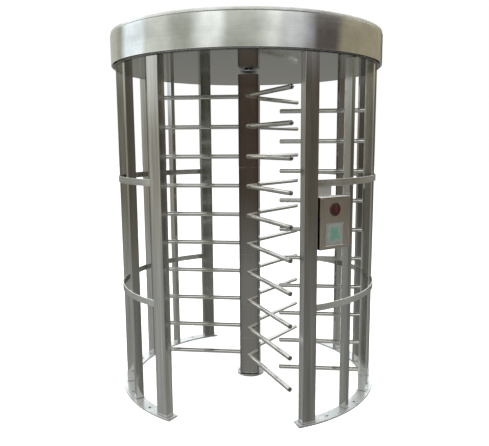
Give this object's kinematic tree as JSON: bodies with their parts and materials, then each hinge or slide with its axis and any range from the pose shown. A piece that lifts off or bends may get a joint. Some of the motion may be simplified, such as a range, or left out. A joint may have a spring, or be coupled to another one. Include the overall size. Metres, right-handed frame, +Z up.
{
  "type": "visitor counter turnstile",
  "caption": "Full-height round turnstile: post cage under a drum canopy, three-wing rotor of bars, fixed comb, and a counter box with lamp and window.",
  "frame": {"origin": "centre of the cage on the floor plane", "axes": "+X towards the comb side, -Y towards the front opening, +Z up"},
  "size_m": [1.7, 1.7, 2.2405],
  "materials": {
    "floor_plate": "satin stainless plate",
    "post_steel": "brushed stainless tube, dark reflections",
    "hoop_steel": "brushed stainless flat bar",
    "bar_steel": "polished stainless tube",
    "canopy_steel": "brushed stainless sheet",
    "soffit_steel": "polished stainless sheet",
    "frame_steel": "plain grey primer on welded steel",
    "housing_iron": "painted casting",
    "bearing_steel": "ground bearing steel",
    "bronze": "plain bearing bronze",
    "machine_steel": "turned steel",
    "column_steel": "brushed stainless column, dark reflections",
    "black_plastic": "moulded black plastic",
    "coil_case": "black painted steel case",
    "box_grey": "grey powder coat",
    "box_steel": "brushed stainless sheet",
    "bezel_metal": "dark anodised ring",
    "red_lamp": "dark red lamp lens",
    "green_panel": "pale green lit window",
    "board_green": "circuit board",
    "screw_steel": "stainless fasteners"
  },
  "bodies": {
    "cage": {"base_ring_left": "floor_plate", "base_ring_right": "floor_plate", "end_post_front_left": "post_steel", "end_post_rear_left": "post_steel", "end_post_front_right": "post_steel", "end_post_rear_right": "post_steel", "upright_left_1": "post_steel", "upright_left_2": "post_steel", "upright_left_3": "post_steel", "upright_left_4": "post_steel", "upright_left_5": "post_steel", "upright_right_1": "post_steel", "upright_right_2": "post_steel", "upright_right_3": "post_steel", "upright_right_4": "post_steel", "upright_right_5": "post_steel", "upper_hoop_left": "hoop_steel", "upper_hoop_right": "hoop_steel", "lower_hoop_left": "hoop_steel", "lower_hoop_right": "hoop_steel", "comb_bars": "bar_steel", "comb_caps": "bar_steel", "soffit_panel": "soffit_steel", "canopy_band": "canopy_steel", "canopy_lid": "canopy_steel", "canopy_fasteners": "screw_steel", "ring_beam": "frame_steel", "cross_beams": "frame_steel", "head_plate": "machine_steel", "bearing_housing": "housing_iron", "bearing_outer_ring": "bearing_steel", "sensor_forks": "black_plastic", "pawl_pivot": "machine_steel", "solenoid_body": "coil_case", "control_box": "box_grey", "floor_socket": "machine_steel", "lower_bush": "bronze", "box_bracket": "box_steel", "box_case": "box_steel", "box_cover": "box_steel", "lens_bezel": "bezel_metal", "red_lens": "red_lamp", "green_window": "green_panel", "counter_board": "board_green", "box_screws": "screw_steel"},
    "rotor": {"rotor_column": "column_steel", "arms_left": "bar_steel", "arms_front_right": "bar_steel", "arms_rear_right": "bar_steel", "arm_caps": "bar_steel", "drive_shaft": "machine_steel", "shaft_flange": "machine_steel", "flange_bolts": "screw_steel", "bearing_inner_ring": "bearing_steel", "bearing_balls": "bearing_steel", "sensor_disc": "machine_steel", "lock_ratchet": "machine_steel", "lower_pivot": "machine_steel"},
    "pawl": {"lock_pawl": "machine_steel"},
    "plunger": {"solenoid_plunger": "bearing_steel"}
  },
  "joints": [
    {"name": "rotor_spin", "type": "hinge", "parent": "cage", "child": "rotor", "pos_m": [0.015, 0, 0], "axis": [0, 0, 1], "continuous": true},
    {"name": "pawl_swing", "type": "hinge", "parent": "cage", "child": "pawl", "pos_m": [0.125, -0.082, 2.154], "axis": [0, 0, -1], "range_deg": [0, 6.5], "stiffness_Nm_per_rad": 2},
    {"name": "plunger_slide", "type": "slide", "parent": "cage", "child": "plunger", "axis": [0, 1, 0], "range_m": [0, 0.0085]}
  ],
  "couplings": [
    {"joint": "plunger_slide", "follows": "pawl_swing", "m_per_rad": 0.073}
  ]
}
